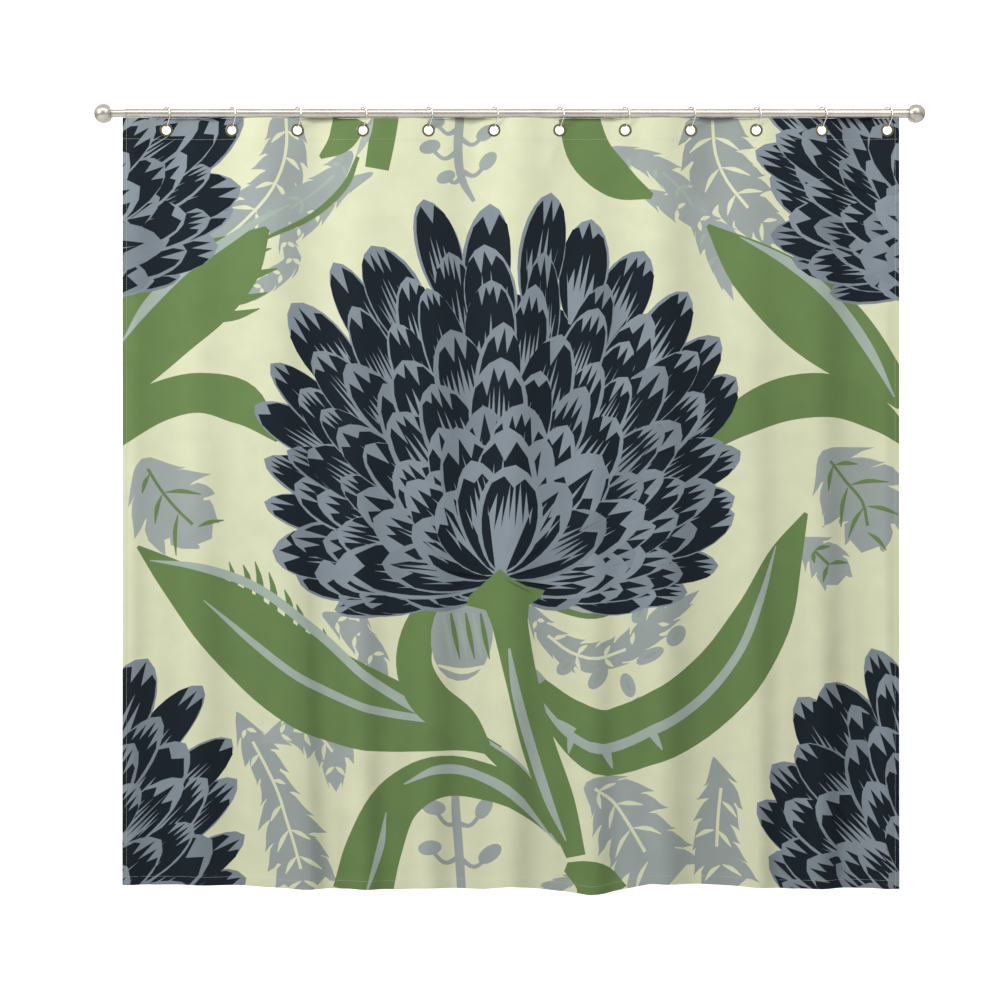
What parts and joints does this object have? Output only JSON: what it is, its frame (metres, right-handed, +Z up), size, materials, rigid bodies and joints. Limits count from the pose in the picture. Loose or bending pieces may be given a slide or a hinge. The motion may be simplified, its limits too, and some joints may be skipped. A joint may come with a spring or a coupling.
{
  "type": "shower curtain",
  "caption": "Printed fabric shower curtain with a row of metal grommets, hung by roller hooks from a telescoping rod with ball finials.",
  "frame": {"origin": "middle of the rod's axis, where whatever carries the rod holds it", "axes": "+X along the rod, to the right as seen from the room; -Y towards the room, the side the curtain is looked at from; +Z up"},
  "size_m": [1.9304, 0.0448, 1.8201],
  "materials": {
    "satin_nickel": "satin nickel, brushed round the tube",
    "polished_wire": "polished nickel-plated wire and rollers",
    "antique_brass": "dark antique plating",
    "white_nylon": "moulded nylon",
    "printed_polyester": "woven polyester printed with large flowers in navy, blue-grey, green and cream"
  },
  "bodies": {
    "rod": {"rod_outer_tube": "satin_nickel", "rod_collar": "satin_nickel", "finial_insert_right": "white_nylon"},
    "inner_tube": {"rod_inner_tube": "satin_nickel", "rod_glide_plug": "white_nylon", "finial_insert_left": "white_nylon"},
    "finial_left": {"finial_left": "satin_nickel", "finial_stem_left": "satin_nickel"},
    "finial_right": {"finial_right": "satin_nickel", "finial_stem_right": "satin_nickel"},
    "hook_01": {"hook_01": "polished_wire"},
    "fold_01": {"curtain_fold_01": "printed_polyester", "grommet_front_01": "antique_brass", "grommet_back_01": "antique_brass"},
    "hook_02": {"hook_02": "polished_wire"},
    "fold_02": {"curtain_fold_02": "printed_polyester", "grommet_front_02": "antique_brass", "grommet_back_02": "antique_brass"},
    "hook_03": {"hook_03": "polished_wire"},
    "fold_03": {"curtain_fold_03": "printed_polyester", "grommet_front_03": "antique_brass", "grommet_back_03": "antique_brass"},
    "hook_04": {"hook_04": "polished_wire"},
    "fold_04": {"curtain_fold_04": "printed_polyester", "grommet_front_04": "antique_brass", "grommet_back_04": "antique_brass"},
    "hook_05": {"hook_05": "polished_wire"},
    "fold_05": {"curtain_fold_05": "printed_polyester", "grommet_front_05": "antique_brass", "grommet_back_05": "antique_brass"},
    "hook_06": {"hook_06": "polished_wire"},
    "fold_06": {"curtain_fold_06": "printed_polyester", "grommet_front_06": "antique_brass", "grommet_back_06": "antique_brass"},
    "hook_07": {"hook_07": "polished_wire"},
    "fold_07": {"curtain_fold_07": "printed_polyester", "grommet_front_07": "antique_brass", "grommet_back_07": "antique_brass"},
    "hook_08": {"hook_08": "polished_wire"},
    "fold_08": {"curtain_fold_08": "printed_polyester", "grommet_front_08": "antique_brass", "grommet_back_08": "antique_brass"},
    "hook_09": {"hook_09": "polished_wire"},
    "fold_09": {"curtain_fold_09": "printed_polyester", "grommet_front_09": "antique_brass", "grommet_back_09": "antique_brass"},
    "hook_10": {"hook_10": "polished_wire"},
    "fold_10": {"curtain_fold_10": "printed_polyester", "grommet_front_10": "antique_brass", "grommet_back_10": "antique_brass"},
    "hook_11": {"hook_11": "polished_wire"},
    "fold_11": {"curtain_fold_11": "printed_polyester", "grommet_front_11": "antique_brass", "grommet_back_11": "antique_brass"},
    "hook_12": {"hook_12": "polished_wire"},
    "fold_12": {"curtain_fold_12": "printed_polyester", "grommet_front_12": "antique_brass", "grommet_back_12": "antique_brass"}
  },
  "joints": [
    {"name": "rod_extend", "type": "slide", "parent": "rod", "child": "inner_tube", "axis": [-1, 0, 0], "range_m": [0, 0.6]},
    {"name": "finial_left_pull", "type": "slide", "parent": "inner_tube", "child": "finial_left", "axis": [-1, 0, 0], "range_m": [0, 0.045]},
    {"name": "finial_right_pull", "type": "slide", "parent": "rod", "child": "finial_right", "axis": [1, 0, 0], "range_m": [0, 0.045]},
    {"name": "curtain_swing", "type": "hinge", "parent": "rod", "child": "hook_01", "pos_m": [-0.7974, 0, 0], "axis": [1, 0, 0], "range_deg": [-20, 20]},
    {"name": "curtain_draw", "type": "hinge", "parent": "hook_01", "child": "fold_01", "pos_m": [-0.7974, 0, 0], "axis": [0, 0, 1], "range_deg": [0, 69]},
    {"name": "pleat_02", "type": "hinge", "parent": "fold_01", "child": "fold_02", "pos_m": [-0.7213, 0.007, 0], "axis": [0, 0, 1], "range_deg": [-138, 0]},
    {"name": "hook_turn_02", "type": "hinge", "parent": "fold_02", "child": "hook_02", "pos_m": [-0.6452, 0, 0], "axis": [0, 0, 1], "range_deg": [0, 1.01]},
    {"name": "pleat_03", "type": "hinge", "parent": "fold_02", "child": "fold_03", "pos_m": [-0.5691, -0.007, 0], "axis": [0, 0, 1], "range_deg": [0, 138]},
    {"name": "hook_turn_03", "type": "hinge", "parent": "fold_03", "child": "hook_03", "pos_m": [-0.493, 0, 0], "axis": [0, 0, 1], "range_deg": [-69.01, 0]},
    {"name": "pleat_04", "type": "hinge", "parent": "fold_03", "child": "fold_04", "pos_m": [-0.4169, 0.007, 0], "axis": [0, 0, 1], "range_deg": [-138, 0]},
    {"name": "hook_turn_04", "type": "hinge", "parent": "fold_04", "child": "hook_04", "pos_m": [-0.3408, 0, 0], "axis": [0, 0, 1], "range_deg": [0, 1.01]},
    {"name": "pleat_05", "type": "hinge", "parent": "fold_04", "child": "fold_05", "pos_m": [-0.2647, -0.007, 0], "axis": [0, 0, 1], "range_deg": [0, 138]},
    {"name": "hook_turn_05", "type": "hinge", "parent": "fold_05", "child": "hook_05", "pos_m": [-0.1886, 0, 0], "axis": [0, 0, 1], "range_deg": [-69.01, 0]},
    {"name": "pleat_06", "type": "hinge", "parent": "fold_05", "child": "fold_06", "pos_m": [-0.1125, 0.007, 0], "axis": [0, 0, 1], "range_deg": [-138, 0]},
    {"name": "hook_turn_06", "type": "hinge", "parent": "fold_06", "child": "hook_06", "pos_m": [-0.0364, 0, 0], "axis": [0, 0, 1], "range_deg": [0, 1.01]},
    {"name": "pleat_07", "type": "hinge", "parent": "fold_06", "child": "fold_07", "pos_m": [0.0397, -0.007, 0], "axis": [0, 0, 1], "range_deg": [0, 138]},
    {"name": "hook_turn_07", "type": "hinge", "parent": "fold_07", "child": "hook_07", "pos_m": [0.1158, 0, 0], "axis": [0, 0, 1], "range_deg": [-69.01, 0]},
    {"name": "pleat_08", "type": "hinge", "parent": "fold_07", "child": "fold_08", "pos_m": [0.1919, 0.007, 0], "axis": [0, 0, 1], "range_deg": [-138, 0]},
    {"name": "hook_turn_08", "type": "hinge", "parent": "fold_08", "child": "hook_08", "pos_m": [0.268, 0, 0], "axis": [0, 0, 1], "range_deg": [0, 1.01]},
    {"name": "pleat_09", "type": "hinge", "parent": "fold_08", "child": "fold_09", "pos_m": [0.3441, -0.007, 0], "axis": [0, 0, 1], "range_deg": [0, 138]},
    {"name": "hook_turn_09", "type": "hinge", "parent": "fold_09", "child": "hook_09", "pos_m": [0.4202, 0, 0], "axis": [0, 0, 1], "range_deg": [-69.01, 0]},
    {"name": "pleat_10", "type": "hinge", "parent": "fold_09", "child": "fold_10", "pos_m": [0.4963, 0.007, 0], "axis": [0, 0, 1], "range_deg": [-138, 0]},
    {"name": "hook_turn_10", "type": "hinge", "parent": "fold_10", "child": "hook_10", "pos_m": [0.5724, 0, 0], "axis": [0, 0, 1], "range_deg": [0, 1.01]},
    {"name": "pleat_11", "type": "hinge", "parent": "fold_10", "child": "fold_11", "pos_m": [0.6485, -0.007, 0], "axis": [0, 0, 1], "range_deg": [0, 138]},
    {"name": "hook_turn_11", "type": "hinge", "parent": "fold_11", "child": "hook_11", "pos_m": [0.7246, 0, 0], "axis": [0, 0, 1], "range_deg": [-69.01, 0]},
    {"name": "pleat_12", "type": "hinge", "parent": "fold_11", "child": "fold_12", "pos_m": [0.8007, 0.007, 0], "axis": [0, 0, 1], "range_deg": [-138, 0]},
    {"name": "hook_turn_12", "type": "hinge", "parent": "fold_12", "child": "hook_12", "pos_m": [0.8768, 0, 0], "axis": [0, 0, 1], "range_deg": [0, 1.01]}
  ],
  "couplings": [
    {"joint": "pleat_02", "follows": "curtain_draw", "ratio": -2},
    {"joint": "hook_turn_02", "follows": "curtain_draw", "ratio": 0.0145},
    {"joint": "pleat_03", "follows": "curtain_draw", "ratio": 2},
    {"joint": "hook_turn_03", "follows": "curtain_draw", "ratio": -1},
    {"joint": "pleat_04", "follows": "curtain_draw", "ratio": -2},
    {"joint": "hook_turn_04", "follows": "curtain_draw", "ratio": 0.0145},
    {"joint": "pleat_05", "follows": "curtain_draw", "ratio": 2},
    {"joint": "hook_turn_05", "follows": "curtain_draw", "ratio": -1},
    {"joint": "pleat_06", "follows": "curtain_draw", "ratio": -2},
    {"joint": "hook_turn_06", "follows": "curtain_draw", "ratio": 0.0145},
    {"joint": "pleat_07", "follows": "curtain_draw", "ratio": 2},
    {"joint": "hook_turn_07", "follows": "curtain_draw", "ratio": -1},
    {"joint": "pleat_08", "follows": "curtain_draw", "ratio": -2},
    {"joint": "hook_turn_08", "follows": "curtain_draw", "ratio": 0.0145},
    {"joint": "pleat_09", "follows": "curtain_draw", "ratio": 2},
    {"joint": "hook_turn_09", "follows": "curtain_draw", "ratio": -1},
    {"joint": "pleat_10", "follows": "curtain_draw", "ratio": -2},
    {"joint": "hook_turn_10", "follows": "curtain_draw", "ratio": 0.0145},
    {"joint": "pleat_11", "follows": "curtain_draw", "ratio": 2},
    {"joint": "hook_turn_11", "follows": "curtain_draw", "ratio": -1},
    {"joint": "pleat_12", "follows": "curtain_draw", "ratio": -2},
    {"joint": "hook_turn_12", "follows": "curtain_draw", "ratio": 0.0145}
  ]
}
